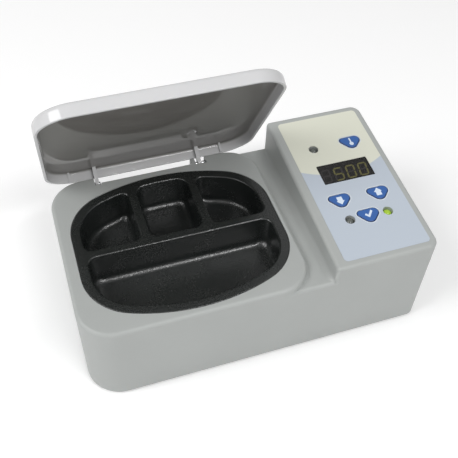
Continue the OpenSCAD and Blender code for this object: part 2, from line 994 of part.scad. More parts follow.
module capacitor() {
    color([0.12, 0.12, 0.14])
        translate([console_x + 40, 7, board_top_z + 0.1])
            cylinder(h = 16, r = 5);
}

module terminal_block() {
    color([0.15, 0.45, 0.25])
        difference() {
            block([console_x + 6.8, -30, board_top_z + 0.1], [console_x + 12.8, -4, board_top_z + 11]);
            for (y = [-27, -22, -17, -12, -7])
                translate([console_x + 9.8, y, board_top_z + 7])
                    cylinder(h = 5, r = 1.6);
            for (y = [-27, -22, -17, -12, -7])
                translate([console_x + 5, y, board_top_z + 3.6])
                    rotate([0, 90, 0])
                        cylinder(h = 5, r = 1.5);
        }
}

module fuse() {
    color([0.85, 0.87, 0.88])
        translate([console_x + 18, -7.5, board_top_z + 5.4])
            rotate([0, 90, 0])
                cylinder(h = 20, r = 2.5);
}

module fuse_clips() {
    color([0.72, 0.6, 0.3])
        for (x = [console_x + 19, console_x + 33])
            difference() {
                block([x, -10.8, board_top_z + 0.1], [x + 4, -4.2, board_top_z + 7]);
                translate([x - 1, -7.5, board_top_z + 5.4])
                    rotate([0, 90, 0])
                        cylinder(h = 6, r = 2.53);
            }
}

module power_inlet() {
    color([0.07, 0.07, 0.07])
        difference() {
            union() {
                block([inlet_x - 13.4, back_y - 20, inlet_z - 9.8], [inlet_x + 13.4, back_y + 0.5, inlet_z + 9.8]);
                translate([0, back_y + 2.2, 0])
                    rotate([90, 0, 0])
                        linear_extrude(2.1)
                            plate_outline(inlet_x - 15.4, inlet_x + 15.4, inlet_z - 12, inlet_z + 12, 2, 2);
            }
            translate([inlet_x, back_y + 4, inlet_z])
                rotate([90, 0, 0])
                    linear_extrude(19.5)
                        polygon([
                            [-12.2, -8.1], [12.2, -8.1], [12.2, 4.4], [8.6, 8.1], [-8.6, 8.1], [-12.2, 4.4]
                        ]);
            for (x = [-7, 0, 7])
                translate([inlet_x + x - 1.15, back_y - 25, inlet_z - 2.15 + (x == 0 ? 3.4 : 0)])
                    cube([2.3, 12, 4.3]);
        }
}

module inlet_contacts() {
    color([0.8, 0.81, 0.82])
        for (x = [-7, 0, 7])
            translate([inlet_x + x - 1, back_y - 26, inlet_z - 2 + (x == 0 ? 3.4 : 0)])
                cube([2, 24, 4]);
}

module rocker_frame() {
    color([0.08, 0.08, 0.08])
        difference() {
            union() {
                block([switch_x - 6.3, back_y - 16, inlet_z - 9.4], [switch_x + 6.3, back_y + 0.5, inlet_z + 9.4]);
                block([switch_x - 7.5, back_y + 0.1, inlet_z - 10.6], [switch_x + 7.5, back_y + 2, inlet_z + 10.6]);
            }
            block([switch_x - 4.7, back_y - 9, inlet_z - 8], [switch_x + 4.7, back_y + 3, inlet_z + 8]);
        }
    color([0.8, 0.8, 0.8])
        for (z = [-5, 5])
            block([switch_x - 3.1, back_y - 22, inlet_z + z - 0.4], [switch_x + 3.1, back_y - 15.9, inlet_z + z + 0.4]);
}

// Rocker with two sloping halves, tilted to its off position.
module rocker() {
    color([0.6, 0.08, 0.06])
        translate([switch_x, back_y - 1.4, inlet_z])
            rotate([-9, 0, 0])
                along_x(-4.35, 4.35)
                    difference() {
                        circle(7.4);
                        translate([-9, -9])
                            square([7, 18]);
                        translate([3.6 + 26.6, 0])
                            circle(27, $fn = 180);
                    }
}

module heater_leads() {
    color([0.85, 0.83, 0.78])
        for (side = [-1, 1])
            wire([
                [lead_hole_x, lead_hole_y + 1.5 * side, pad_z - 0.1],
                [lead_hole_x, lead_hole_y + 1.5 * side, pan_floor_z - 4],
                [console_x - 30, -17 + 2.5 * side, 17],
                [console_x - 4, -19.5 + 2.5 * side, board_top_z + 4.5],
                [console_x + 9, -19.5 + 2.5 * side, board_top_z + 3.6]
            ], 1.1);
}

module sensor_lead() {
    color([0.2, 0.2, 0.22])
        wire([
            [sensor_x, bath_y, bath_under_z - 4.9],
            [sensor_x, bath_y, pan_floor_z - 4],
            [console_x - 8, 2, 24],
            [console_x + 5, 8, 44],
            [console_x + 12, 12, 55.5]
        ], 1.2);
}

module earth_lead() {
    color([0.35, 0.6, 0.2])
        wire([
            [inlet_x, back_y - 26.2, inlet_z + 3.4],
            [inlet_x, back_y - 28.6, inlet_z + 3.4],
            [inlet_x - 4, back_y - 27.8, 9],
            [bath_x + 26, bath_y + 14, 13],
            [bath_x + 26, bath_y + 14, pan_floor_z - 0.1]
        ], 1.1);
}

module mains_leads() {
    color([0.35, 0.22, 0.14]) {
        wire([
            [inlet_x + 7, back_y - 26.2, inlet_z],
            [inlet_x + 7, back_y - 28.4, inlet_z],
            [inlet_x + 9, back_y - 30, inlet_z + 8],
            [switch_x, back_y - 26.5, inlet_z + 5],
            [switch_x, back_y - 22.2, inlet_z + 5]
        ], 1.1);
        wire([
            [inlet_x - 7, back_y - 26.2, inlet_z],
            [inlet_x - 7, back_y - 28.8, inlet_z],
            [console_x + 9.8, 6, 32],
            [console_x + 9.8, -7, 28],
            [console_x + 9.8, -7, board_top_z + 7.4]
        ], 1.1);
    }
}

module ribbon_cable() {
    under_z = console_front_z + 77 * sin(console_slope) + control_under_n / cos(console_slope);
    color([0.75, 0.75, 0.75])
        block([console_x + 19, 20.9, board_top_z + 6.1], [console_x + 31, 21.9, under_z - 7.3]);
    color([0.92, 0.92, 0.88]) {
        block([console_x + 17.5, 19.4, board_top_z + 0.1], [console_x + 32.5, 23.4, board_top_z + 6.2]);
        block([console_x + 17.5, 19.4, under_z - 7.4], [console_x + 32.5, 23.4, under_z - 0.6]);
    }
}

top_housing();
base_plate();
feet();
base_screws();
rating_plate();
wax_bath();
heating_pad();
insulation_blanket();
heat_shield_pan();
pan_screws();
temperature_sensor();
thermal_fuse();
lid();
hinge_pins();
control_label();
display_window();
display_module();
units_key();
up_key();
down_key();
set_key();
upper_led();
lower_left_led();
lower_right_led();
led_spacers();
key_switches();
control_board();
control_board_screws();
controller_chip();
power_board();
power_board_screws();
transformer_core();
transformer_coil();
relay();
capacitor();
terminal_block();
fuse();
fuse_clips();
power_inlet();
inlet_contacts();
rocker_frame();
rocker();
heater_leads();
sensor_lead();
earth_lead();
mains_leads();
ribbon_cable();
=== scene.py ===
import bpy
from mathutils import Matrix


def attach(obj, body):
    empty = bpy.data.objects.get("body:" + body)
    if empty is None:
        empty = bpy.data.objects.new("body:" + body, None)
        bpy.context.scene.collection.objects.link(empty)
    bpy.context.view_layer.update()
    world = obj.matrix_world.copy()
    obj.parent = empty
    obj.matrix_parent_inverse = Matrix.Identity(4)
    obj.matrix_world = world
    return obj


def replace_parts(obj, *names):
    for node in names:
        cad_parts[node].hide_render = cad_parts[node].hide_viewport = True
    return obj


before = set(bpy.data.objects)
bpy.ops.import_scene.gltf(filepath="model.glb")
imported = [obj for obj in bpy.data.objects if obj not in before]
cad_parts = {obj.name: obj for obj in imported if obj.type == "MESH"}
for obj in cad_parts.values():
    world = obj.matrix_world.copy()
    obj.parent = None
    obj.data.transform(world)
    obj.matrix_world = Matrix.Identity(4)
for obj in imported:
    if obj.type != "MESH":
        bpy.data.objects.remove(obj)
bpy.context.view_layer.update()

import math

import bmesh
import bpy
from mathutils import Matrix, Vector
from mathutils.geometry import delaunay_2d_cdt

# The heater is seen from above its front left corner, as a bench object in a catalogue.
# The camera's place, tilt and lens were solved from the straight edges of the housing and the lid.
camera_data = bpy.data.cameras.new("camera")
camera_data.lens = 55.41
camera_data.sensor_width = 36.0
camera = bpy.data.objects.new("camera", camera_data)
bpy.context.scene.collection.objects.link(camera)
azimuth, elevation, roll = (math.radians(angle) for angle in (-20.07, 48.89, 2.43))
towards = Vector((
    math.sin(azimuth) * math.cos(elevation),
    -math.cos(azimuth) * math.cos(elevation),
    math.sin(elevation),
))
level = (-towards).cross(Vector((0, 0, 1))).normalized()
upright = level.cross(-towards)
right = math.cos(roll) * level + math.sin(roll) * upright
up = -math.sin(roll) * level + math.cos(roll) * upright
turned = Matrix((right, up, towards)).transposed().to_4x4()
camera.matrix_world = Matrix.Translation((-0.09351, -0.24521, 0.34950)) @ turned
bpy.context.scene.camera = camera

# The housing is one light grey ABS moulding with a fine satin texture.
# Its raised seat carries the bath, and hollow fillets run along the foot of the seat and the console.
MM = 0.001
LEFT_X, RIGHT_X, FRONT_Y, BACK_Y = -96.6, 96.6, -55.0, 55.0
STRIP_Z, SEAT_RIGHT_X, CONSOLE_X, CORNER_R = 53.5, 26.6, 36.8, 19.0


def tone(r, g, b):
    """A colour read off as 0 to 255 display values, as linear values."""
    linear = [((c / 255 + 0.055) / 1.055) ** 2.4 if c > 10 else c / 255 / 12.92 for c in (r, g, b)]
    return (*linear, 1.0)


def calculated(tree, operation, *terms):
    """The result of a math node whose terms are plain numbers or other nodes' outputs."""
    node = tree.nodes.new("ShaderNodeMath")
    node.operation = operation
    for socket, term in zip(node.inputs, terms):
        if isinstance(term, (int, float)):
            socket.default_value = term
        else:
            tree.links.new(term, socket)
    return node.outputs[0]


def new_moulded_skin():
    """Node group: a tint with faint blotches, uneven gloss and a fine grain height."""
    group = bpy.data.node_groups.new("moulded_skin", "ShaderNodeTree")
    wanted = (
        ("Tint", "NodeSocketColor", (0.5, 0.5, 0.5, 1)),
        ("Spread", "NodeSocketFloat", 0.03),
        ("Roughness", "NodeSocketFloat", 0.5),
        ("Gloss Spread", "NodeSocketFloat", 0.05),
        ("Grain Scale", "NodeSocketFloat", 2400.0),
    )
    for name, kind, value in wanted:
        group.interface.new_socket(name, in_out="INPUT", socket_type=kind).default_value = value
    group.interface.new_socket("Color", in_out="OUTPUT", socket_type="NodeSocketColor")
    group.interface.new_socket("Roughness", in_out="OUTPUT", socket_type="NodeSocketFloat")
    group.interface.new_socket("Height", in_out="OUTPUT", socket_type="NodeSocketFloat")
    nodes, links = group.nodes, group.links
    given, result = nodes.new("NodeGroupInput"), nodes.new("NodeGroupOutput")
    place = nodes.new("ShaderNodeTexCoord")
    grain, blotch = nodes.new("ShaderNodeTexNoise"), nodes.new("ShaderNodeTexNoise")
    grain.inputs["Detail"].default_value = 2.0
    blotch.inputs["Scale"].default_value = 28.0
    blotch.inputs["Detail"].default_value = 4.0
    links.new(place.outputs["Object"], grain.inputs["Vector"])
    links.new(given.outputs["Grain Scale"], grain.inputs["Scale"])
    links.new(place.outputs["Object"], blotch.inputs["Vector"])
    mixed = calculated(group, "MULTIPLY_ADD", grain.outputs["Fac"], 0.35, blotch.outputs["Fac"])
    centred = calculated(group, "SUBTRACT", mixed, 0.675)
    shade = calculated(group, "MULTIPLY_ADD", centred, given.outputs["Spread"], 1.0)
    gloss = calculated(
        group, "MULTIPLY_ADD", centred, given.outputs["Gloss Spread"], given.outputs["Roughness"]
    )
    tinted = nodes.new("ShaderNodeVectorMath")
    tinted.operation = "SCALE"
    links.new(given.outputs["Tint"], tinted.inputs[0])
    links.new(shade, tinted.inputs["Scale"])
    links.new(tinted.outputs[0], result.inputs["Color"])
    links.new(gloss, result.inputs["Roughness"])
    links.new(grain.outputs["Fac"], result.inputs["Height"])
    return group


moulded_skin = new_moulded_skin()


def skin_material(
    name, tint, roughness, spread=0.12, gloss_spread=0.1, grain=2400.0, depth=0.12, **plain
):
    """A material whose colour, gloss and bump come from the moulded skin.

    Plain names set the shader's own sockets.
    """
    material = bpy.data.materials.new(name)
    material.use_nodes = True
    nodes, links = material.node_tree.nodes, material.node_tree.links
    shader = nodes["Principled BSDF"]
    skin = nodes.new("ShaderNodeGroup")
    skin.node_tree = moulded_skin
    skin.name = "skin"
    skin.inputs["Tint"].default_value = tint
    skin.inputs["Spread"].default_value = spread
    skin.inputs["Roughness"].default_value = roughness
    skin.inputs["Gloss Spread"].default_value = gloss_spread
    skin.inputs["Grain Scale"].default_value = grain
    bump = nodes.new("ShaderNodeBump")
    bump.inputs["Strength"].default_value = depth
    bump.inputs["Distance"].default_value = 0.0002
    links.new(skin.outputs["Color"], shader.inputs["Base Color"])
    links.new(skin.outputs["Roughness"], shader.inputs["Roughness"])
    links.new(skin.outputs["Height"], bump.inputs["Height"])
    links.new(bump.outputs["Normal"], shader.inputs["Normal"])
    for socket, value in plain.items():
        shader.inputs[socket.replace("_", " ")].default_value = value
    return material


def arc(x, y, r, start, stop, step):
    """Points of an arc about x, y, at the whole degrees that a range counts off."""
    turns = (math.radians(a) for a in range(start, stop, step))
    return [(x + r * math.cos(a), y + r * math.sin(a)) for a in turns]


def loft(bm, loops, close_start=True, close_end=True):
    """Skin over closed loops of points in millimetres, all with the same number of points."""
    rings = [[bm.verts.new(Vector(point) * MM) for point in loop] for loop in loops]
    count = len(rings[0])
    for low, high in zip(rings, rings[1:]):
        for i in range(count):
            j = (i + 1) % count
            bm.faces.new((low[i], low[j], high[j], high[i]))
    if close_start:
        bm.faces.new(list(reversed(rings[0])))
    if close_end:
        bm.faces.new(rings[-1])
    return rings


def finished(bm, name, material, body, crease=32):
    """The mesh as a shown piece, smooth but for edges sharper than crease, riding on a body."""
    bmesh.ops.recalc_face_normals(bm, faces=bm.faces)
    mesh = bpy.data.meshes.new(name)
    bm.to_mesh(mesh)
    bm.free()
    mesh.materials.append(material)
    mesh.shade_smooth()
    mesh.set_sharp_from_angle(angle=math.radians(crease))
    piece = bpy.data.objects.new(name, mesh)
    bpy.context.scene.collection.objects.link(piece)
    weighted = piece.modifiers.new("weighted", "WEIGHTED_NORMAL")
    weighted.keep_sharp = True
    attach(piece, body)
    return piece


def merged_copy(node):
    """A CAD node's mesh with its loose triangles joined and its flat faces made whole."""
    bm = bmesh.new()
    bm.from_mesh(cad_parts[node].data)
    bmesh.ops.remove_doubles(bm, verts=bm.verts, dist=2e-6)
    bmesh.ops.dissolve_limit(bm, angle_limit=math.radians(0.3), verts=bm.verts, edges=bm.edges)
    return bm


def hollow_fillet(bm, path, outward, radii):
    """A bead with a hollow face along the foot of a wall, which path follows on the floor."""
    loops = []
    for point, away, radius in zip(path, outward, radii):
        section = arc(radius, radius, radius, 180, 271, 15) + [(-0.3, -0.3)]
        loops.append([
            (point[0] + away[0] * out, point[1] + away[1] * out, point[2] + rise)
            for out, rise in section
        ])
    loft(bm, loops)


housing_mesh = merged_copy("top_housing")
foot_path, foot_away, foot_radii = [], [], []
seat_fillet, first_turn = 1.5, 22
for end in (-1, 1):
    for step in range(17):
        swept = (90 - first_turn) * step / 16
        turn = math.radians(first_turn + swept if end < 0 else 90 - swept)
        foot_away.append((math.sin(turn), end * math.cos(turn)))
        foot_path.append((
            SEAT_RIGHT_X - CORNER_R + CORNER_R * math.sin(turn),
            end * (BACK_Y - CORNER_R + CORNER_R * math.cos(turn)),
            STRIP_Z,
        ))
        share = (math.degrees(turn) - first_turn) / 26
        foot_radii.append(seat_fillet * min(1.0, max(0.04, share)))
hollow_fillet(housing_mesh, foot_path, foot_away, foot_radii)
console_drops = ((44, 0), (-46, 0), (-51, 0), (-53.2, 0.3), (-54.4, 0.9))
console_foot = [(CONSOLE_X + 0.05, y, STRIP_Z - drop) for y, drop in console_drops]
hollow_fillet(housing_mesh, console_foot, [(-1, 0)] * 5, (3.4, 3.4, 3.2, 2.4, 1.2))
housing_plastic = skin_material("housing_plastic", tone(170, 173, 171), 0.46)
housing = finished(housing_mesh, "housing_shell", housing_plastic, "housing")
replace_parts(housing, "top_housing")

# The bath is a gravity casting in aluminium with a charcoal non-stick coating.
# It hangs in the seat by a thin flange; four wells with rounded mouths and floors hold the wax.
BATH_X, BATH_Y, BATH_TOP, RIM = -33.15, -2.55, 57.4, 5.0
HALF_W, HALF_D, ARC_R, BATH_CORNER_R, WELL_DEPTH = 56.4, 48.35, 105.0, 29.0, 19.5
BATH_UNDER, BOSS_X, BOSS_Y = BATH_TOP - WELL_DEPTH - 1.6, 40, 26
corner_at_x = HALF_W - BATH_CORNER_R
arc_at_y = HALF_D - ARC_R
corner_at_y = arc_at_y + math.sqrt((ARC_R - BATH_CORNER_R) ** 2 - corner_at_x**2)
arc_turn = math.acos(corner_at_x / (ARC_R - BATH_CORNER_R))


def bath_loop(grow, z, steps=40):
    """The bath's outline widened by grow, counted from its right side."""
    quarter = []
    for i in range(steps + 1):
        a = arc_turn * i / steps
        reach = BATH_CORNER_R + grow
        quarter.append((corner_at_x + reach * math.cos(a), corner_at_y + reach * math.sin(a)))
    for i in range(1, steps + 1):
        a = arc_turn + (math.pi / 2 - arc_turn) * i / steps
        quarter.append(((ARC_R + grow) * math.cos(a), arc_at_y + (ARC_R + grow) * math.sin(a)))
    around = quarter + [(-x, y) for x, y in reversed(quarter[:-1])]
    around += [(-x, -y) for x, y in quarter] + [(x, -y) for x, y in reversed(quarter[:-1])]
    return [(BATH_X + x, BATH_Y + y, z) for x, y in around]


def outside_bath(x, y):
    """Distance of a point, from the bath's middle, outside its outline."""
    x, y = abs(x), abs(y)
    if math.atan2(y - arc_at_y, x) > arc_turn:
        return math.hypot(x, y - arc_at_y) - ARC_R
    if y > corner_at_y:
        return math.hypot(x - corner_at_x, y - corner_at_y) - BATH_CORNER_R
    return x - HALF_W


def outside_well(x, y, walls, inset, fillet=5.0):
    """Distance outside one well, whose straight walls meet each other and the rim in round corners."""
    low_x, high_x, low_y, high_y = walls
    sides = (low_x - x, x - high_x, low_y - y, y - high_y, outside_bath(x, y) + RIM)
    sides = [side + inset for side in sides]
    past = math.sqrt(sum(max(side + fillet, 0) ** 2 for side in sides))
    return min(-fillet, max(sides)) + past


def well_loop(walls, centre, turns, inset, z):
    """Points where rays from the well's centre meet its wall."""
    points = []
    for a in turns:
        near, far = 0.0, 90.0
        for _ in range(30):
            middle = (near + far) / 2
            x, y = centre[0] + middle * math.cos(a), centre[1] + middle * math.sin(a)
            if outside_well(x, y, walls, inset) < 0:
                near = middle
            else:
                far = middle
        x, y = centre[0] + near * math.cos(a), centre[1] + near * math.sin(a)
        points.append((BATH_X + x, BATH_Y + y, z))
    return points


def even_turns(walls, centre, count=208, rays=1440):
    """Ray angles that space points evenly along the wall and closer round its corners."""
    fine = [2 * math.pi * i / rays for i in range(rays)]
    points = [Vector(p) for p in well_loop(walls, centre, fine, 0.5, 0)]
    spent = [0.0]
    for i in range(rays):
        before, here, after = points[i - 1], points[i], points[(i + 1) % rays]
        step, bend = after - here, (here - before).xy.angle((after - here).xy)
        spent.append(spent[-1] + step.length / 3.2 + math.degrees(bend) / 5.5)
    turns, k = [], 0
    for j in range(count):
        goal = spent[-1] * j / count
        while spent[k + 1] < goal:
            k += 1
        share = (goal - spent[k]) / (spent[k + 1] - spent[k])
        turns.append(2 * math.pi * (k + share) / rays)
    return turns


def plane_faces(loops):
    """Points and faces that fill the plane between an outer loop and the loops inside it."""
    points, edges = [], []
    for loop in loops:
        start, count = len(points), len(loop)
        points += [Vector(p[:2]) for p in loop]
        edges += [(start + i, start + (i + 1) % count) for i in range(count)]
    found, _, faces, *_ = delaunay_2d_cdt(points, edges, [], 0, 1e-6)
    between = []
    for face in faces:
        middle = sum((found[i] for i in face), Vector((0, 0))) / len(face)
        crossings = 0
        for loop in loops:
            for here, there in zip(loop, loop[1:] + loop[:1]):
                if (here[1] > middle.y) != (there[1] > middle.y):
                    share = (middle.y - here[1]) / (there[1] - here[1])
                    crossings += here[0] + share * (there[0] - here[0]) > middle.x
        if crossings % 2:
            between.append(face)
    return found, between


def flat_between(bm, loops, z):
    """Fills the flat ground at height z between an outer loop and the loops inside it."""
    found, faces = plane_faces(loops)
    verts = [bm.verts.new((p.x * MM, p.y * MM, z * MM)) for p in found]
    for face in faces:
        bm.faces.new([verts[i] for i in face])


def round_loop(x, y, r, z, count=32):
    """Points of a level circle about x, y."""
    turns = (2 * math.pi * i / count for i in range(count))
    return [(x + r * math.cos(a), y + r * math.sin(a), z) for a in turns]


bath_mesh = bmesh.new()
mouth_loops = []
divider, well_mid_y, side_well_x, far_wall = 2.3, 1.1, 17.5, 80.0
wells = (
    ((-far_wall, far_wall, -far_wall, well_mid_y - divider), (0, -21)),
    ((-far_wall, -side_well_x - divider, well_mid_y + divider, far_wall), (-33, 16)),
    ((-side_well_x + divider, side_well_x - divider, well_mid_y + divider, far_wall), (0, 23)),
    ((side_well_x + divider, far_wall, well_mid_y + divider, far_wall), (33, 16)),
)
floor_fillet = 4.2
well_section = arc(-0.75, -1, 1, 90, -1, -15) + [(0.5, -6), (0.8, -11)]
well_section += arc(1 + floor_fillet, floor_fillet - WELL_DEPTH, floor_fillet, 180, 271, 9)
for walls, centre in wells:
    turns = even_turns(walls, centre)
    loops = [well_loop(walls, centre, turns, inset, BATH_TOP + z) for inset, z in well_section]
    loft(bath_mesh, loops, close_start=False)
    mouth_loops.append(loops[0])
rim_section = [(-0.5, 0), (-0.32, -0.04), (-0.15, -0.15), (-0.04, -0.32), (0, -0.5), (0, -2.1)]
rim_section += [(-3.5, -2.1), (-3.5, BATH_UNDER - BATH_TOP + 1.5), (-3.9, BATH_UNDER - BATH_TOP + 0.4)]
rim_section += [(-5, BATH_UNDER - BATH_TOP)]
rim_loops = [bath_loop(grow, BATH_TOP + z) for grow, z in rim_section]
loft(bath_mesh, rim_loops, close_start=False)
flat_between(bath_mesh, [rim_loops[0]] + mouth_loops, BATH_TOP)
bmesh.ops.remove_doubles(bath_mesh, verts=bath_mesh.verts, dist=1e-6)
for side in (-1, 1):
    for end in (-1, 1):
        boss = [
            round_loop(BATH_X + BOSS_X * side, BATH_Y + BOSS_Y * end, r, z)
            for r, z in ((1.3, 30), (1.3, 29.2), (3.1, 29.2), (3.4, 29.5), (3.4, BATH_UNDER + 0.05))
        ]
        loft(bath_mesh, boss)
bath_coating = skin_material(
    "nonstick_coating", tone(30, 33, 32), 0.27, spread=0.6, gloss_spread=0.3,
    grain=1100.0, depth=0.9, Specular_IOR_Level=0.85,
)
bath = finished(bath_mesh, "coated_wax_bath", bath_coating, "housing")
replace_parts(bath, "wax_bath")

# The lid is a shallow tray moulded in a paler, glossy ABS and stands open by 59 degrees.
# Two flat arms on its rear wall reach down to the hinge pins, and two thin ribs stiffen that wall.
# Its inner face is painted a darker grey than its walls, a painted shade standing in for the shade that
# falls on it.
LID_RIM_Z, LID_H, LID_WALL, LID_OPEN = 57.8, 7.6, 1.6, 59.35
HINGE_Y, HINGE_Z = 52.6, 54.0


def tray_loop(inset, z):
    """The lid's outline drawn in by inset, as closed over the seat."""
    left, right = LEFT_X + CORNER_R, SEAT_RIGHT_X - CORNER_R
    front, back = FRONT_Y + CORNER_R, BACK_Y - CORNER_R
    corners = ((right, front, -90), (right, back, 0), (left, back, 90), (left, front, 180))
    outline = []
    for x, y, start in corners:
        outline += [(*point, z) for point in arc(x, y, CORNER_R - inset, start, start + 91, 5)]
    return outline


def flat_piece(bm, outline, hole, low, high, lift=lambda x, y, z: (x, y, z)):
    """A flat piece cut to outline, with a hole, from low to high on Z or where lift puts that."""
    rims = [outline] + ([hole] if hole else [])
    found, faces = plane_faces(rims)
    sides = [[bm.verts.new(Vector(lift(*p, level)) * MM) for p in found] for level in (low, high)]
    for face in faces:
        bm.faces.new([sides[0][i] for i in reversed(face)])
        bm.faces.new([sides[1][i] for i in face])
    start = 0
    for loop in rims:
        count = len(loop)
        for i in range(count):
            a, b = start + i, start + (i + 1) % count
            bm.faces.new((sides[0][a], sides[0][b], sides[1][b], sides[1][a]))
        start += count


def colour_socket(sockets, name):
    """The colour socket of a mix node, which has one of each type under the same name."""
    return next(s for s in sockets if s.name == name and s.type == "RGBA")


def blend_by_attribute(material, attribute, plain, marked):
    """Makes a material's tint run from plain to marked along an attribute of the mesh."""
    tree = material.node_tree
    mark = tree.nodes.new("ShaderNodeAttribute")
    mark.attribute_name = attribute
    shading = tree.nodes.new("ShaderNodeMix")
    shading.data_type = "RGBA"
    colour_socket(shading.inputs, "A").default_value = plain
    colour_socket(shading.inputs, "B").default_value = marked
    tree.links.new(mark.outputs["Fac"], shading.inputs["Factor"])
    tree.links.new(colour_socket(shading.outputs, "Result"), tree.nodes["skin"].inputs["Tint"])


lid_mesh = bmesh.new()
# The inside share sets how much painted shade each ring of the lid's tray takes.
inside = lid_mesh.verts.layers.float.new("inside")
inner_top = LID_RIM_Z + LID_H - LID_WALL
tray_section = arc(LID_WALL + 1.4, inner_top - 1.4, 1.4, 90, 181, 15)
tray_section += arc(LID_WALL - 0.35, LID_RIM_Z + 0.35, 0.35, 0, -91, -30)
tray_section += arc(0.35, LID_RIM_Z + 0.35, 0.35, -90, -181, -30)
tray_section += arc(3, LID_RIM_Z + LID_H - 3, 3, 180, 89, -10)
tray_rings = loft(lid_mesh, [tray_loop(inset, z) for inset, z in tray_section])
for ring, share in zip(tray_rings, (1, 1, 0.95, 0.8, 0.55, 0.3, 0.15)):
    for vert in ring:
        vert[inside] = share
wall_face = BACK_Y - 1.4
arm_outline = [(HINGE_Y - 2.3, LID_RIM_Z + 0.1)] + arc(HINGE_Y, HINGE_Z, 2.3, 180, 425, 12)
arm_outline += [
    (HINGE_Y + 1, LID_RIM_Z - 0.2), (wall_face, LID_RIM_Z + 0.1), (wall_face, inner_top + 0.2),
    (BACK_Y - 5, inner_top + 0.2), (BACK_Y - 5, LID_RIM_Z + 0.1),
]
eye = arc(HINGE_Y, HINGE_Z, 1.06, 0, 360, 15)
for arm_x in (LEFT_X + 27.7, LEFT_X + 89.7):
    flat_piece(lid_mesh, arm_outline, eye, arm_x, arm_x + 2.2, lambda y, z, x: (x, y, z))
rib_outline = [
    (BACK_Y - 3.4, LID_RIM_Z + 0.9), (BACK_Y - 3.0, LID_RIM_Z + 0.4), (wall_face, LID_RIM_Z + 0.4),
    (wall_face, inner_top + 0.2), (BACK_Y - 3.4, inner_top + 0.2),
]
for rib_x in (LEFT_X + 13.2, LEFT_X + 105.2):
    flat_piece(lid_mesh, rib_outline, None, rib_x, rib_x + 1.2, lambda y, z, x: (x, y, z))
hinge = Vector((0, HINGE_Y * MM, HINGE_Z * MM))
swing = Matrix.Rotation(math.radians(-LID_OPEN), 3, "X")
for vert in lid_mesh.verts:
    vert.co = swing @ (vert.co - hinge) + hinge
pale_grey = tone(206, 206, 207)
lid_plastic = skin_material(
    "lid_plastic", pale_grey, 0.06, spread=0.05, gloss_spread=0.04, depth=0.02
)
# Painted shade: the tint runs from the pale grey to a darker grey over the inner face.
blend_by_attribute(lid_plastic, "inside", pale_grey, tone(118, 116, 112))
lid = finished(lid_mesh, "tray_lid", lid_plastic, "lid")
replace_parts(lid, "lid")

# The lid turns on two short drawn steel pins pressed into the walls of the hinge pocket.
# Short stretches of them show beside the lid's arms, and their CAD solids are shown as they are.
bright_steel = skin_material(
    "bright_steel", tone(200, 201, 203), 0.22, grain=900.0, depth=0.05, Metallic=1.0
)


def dress(nodes, material):
    """Gives CAD nodes that keep their own shape their material."""
    for node in nodes:
        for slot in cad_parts[node].material_slots:
            slot.material = material


dress(["hinge_pins"], bright_steel)

# The control label is a thin satin polyester film in a shallow pocket of the console's slope.
# It is cream above and pale blue below, parted by a shallow curve, and a pale line rings each key.
CONSOLE_FRONT_Z, CONSOLE_BACK_Z = 64.6, 74.1
slope = math.atan((CONSOLE_BACK_Z - CONSOLE_FRONT_Z) / (BACK_Y - FRONT_Y))
slope_foot = Vector((CONSOLE_X, FRONT_Y, CONSOLE_FRONT_Z)) * MM
on_console = Matrix.Translation(slope_foot) @ Matrix.Rotation(slope, 4, "X")
label_film = skin_material(
    "label_film", tone(214, 217, 204), 0.34, spread=0.03, grain=1200.0, depth=0.03
)
tree = label_film.node_tree
place = tree.nodes.new("ShaderNodeTexCoord")
apart = tree.nodes.new("ShaderNodeSeparateXYZ")
tree.links.new(place.outputs["Object"], apart.inputs[0])
label_middle_x, parting_up_slope, parting_bow, parting_blur = 0.0674, 0.0603, -10.9, 0.0003
across = calculated(tree, "SUBTRACT", apart.outputs["X"], label_middle_x)
dip = calculated(tree, "MULTIPLY", across, across)
curve = calculated(tree, "MULTIPLY_ADD", dip, parting_bow, apart.outputs["Y"])
parting_y = FRONT_Y * MM + parting_up_slope * math.cos(slope)
parted = tree.nodes.new("ShaderNodeMapRange")
parted.inputs["From Min"].default_value = parting_y - parting_blur
parted.inputs["From Max"].default_value = parting_y + parting_blur
tree.links.new(curve, parted.inputs["Value"])
fields = tree.nodes.new("ShaderNodeMix")
fields.data_type = "RGBA"
colour_socket(fields.inputs, "A").default_value = tone(186, 195, 206)
colour_socket(fields.inputs, "B").default_value = tone(219, 220, 205)
tree.links.new(parted.outputs["Result"], fields.inputs["Factor"])
tree.links.new(colour_socket(fields.outputs, "Result"), tree.nodes["skin"].inputs["Tint"])
dress(["control_label"], label_film)

KEY_PLACES = {
    "units_key": (42.7, 81.7), "down_key": (19.1, 42.4), "up_key": (42.2, 41.9), "set_key": (30.4, 28.8)
}
KEY_CORNERS = ((Vector((-3.9, 1.9)), 2.2), (Vector((3.4, 1.3)), 2.9), (Vector((0.1, -0.9)), 3.7))


def key_loop(middle, grow, steps=96):
    """Outline of a key: a hull of a left and a right corner circle and a wider one at its foot."""
    points = []
    for i in range(steps):
        facing = Vector((math.cos(2 * math.pi * i / steps), math.sin(2 * math.pi * i / steps)))
        centre, radius = max(KEY_CORNERS, key=lambda c: c[0].dot(facing) + c[1])
        points.append(Vector(middle) + centre + facing * (radius + grow))
    return [(p.x, p.y) for p in points]


def on_slope(bm):
    """Moves a mesh drawn flat, with Y up the slope and Z out of it, to the console."""
    bm.transform(on_console)
    return bm


rings_mesh = bmesh.new()
for middle in KEY_PLACES.values():
    flat_piece(rings_mesh, key_loop(middle, 0.85), key_loop(middle, 0.3), 0.03, 0.09)
pale_ink = skin_material("pale_ink", tone(208, 216, 223), 0.4, spread=0.03, depth=0.03)
finished(on_slope(rings_mesh), "pale_key_rings", pale_ink, "housing")

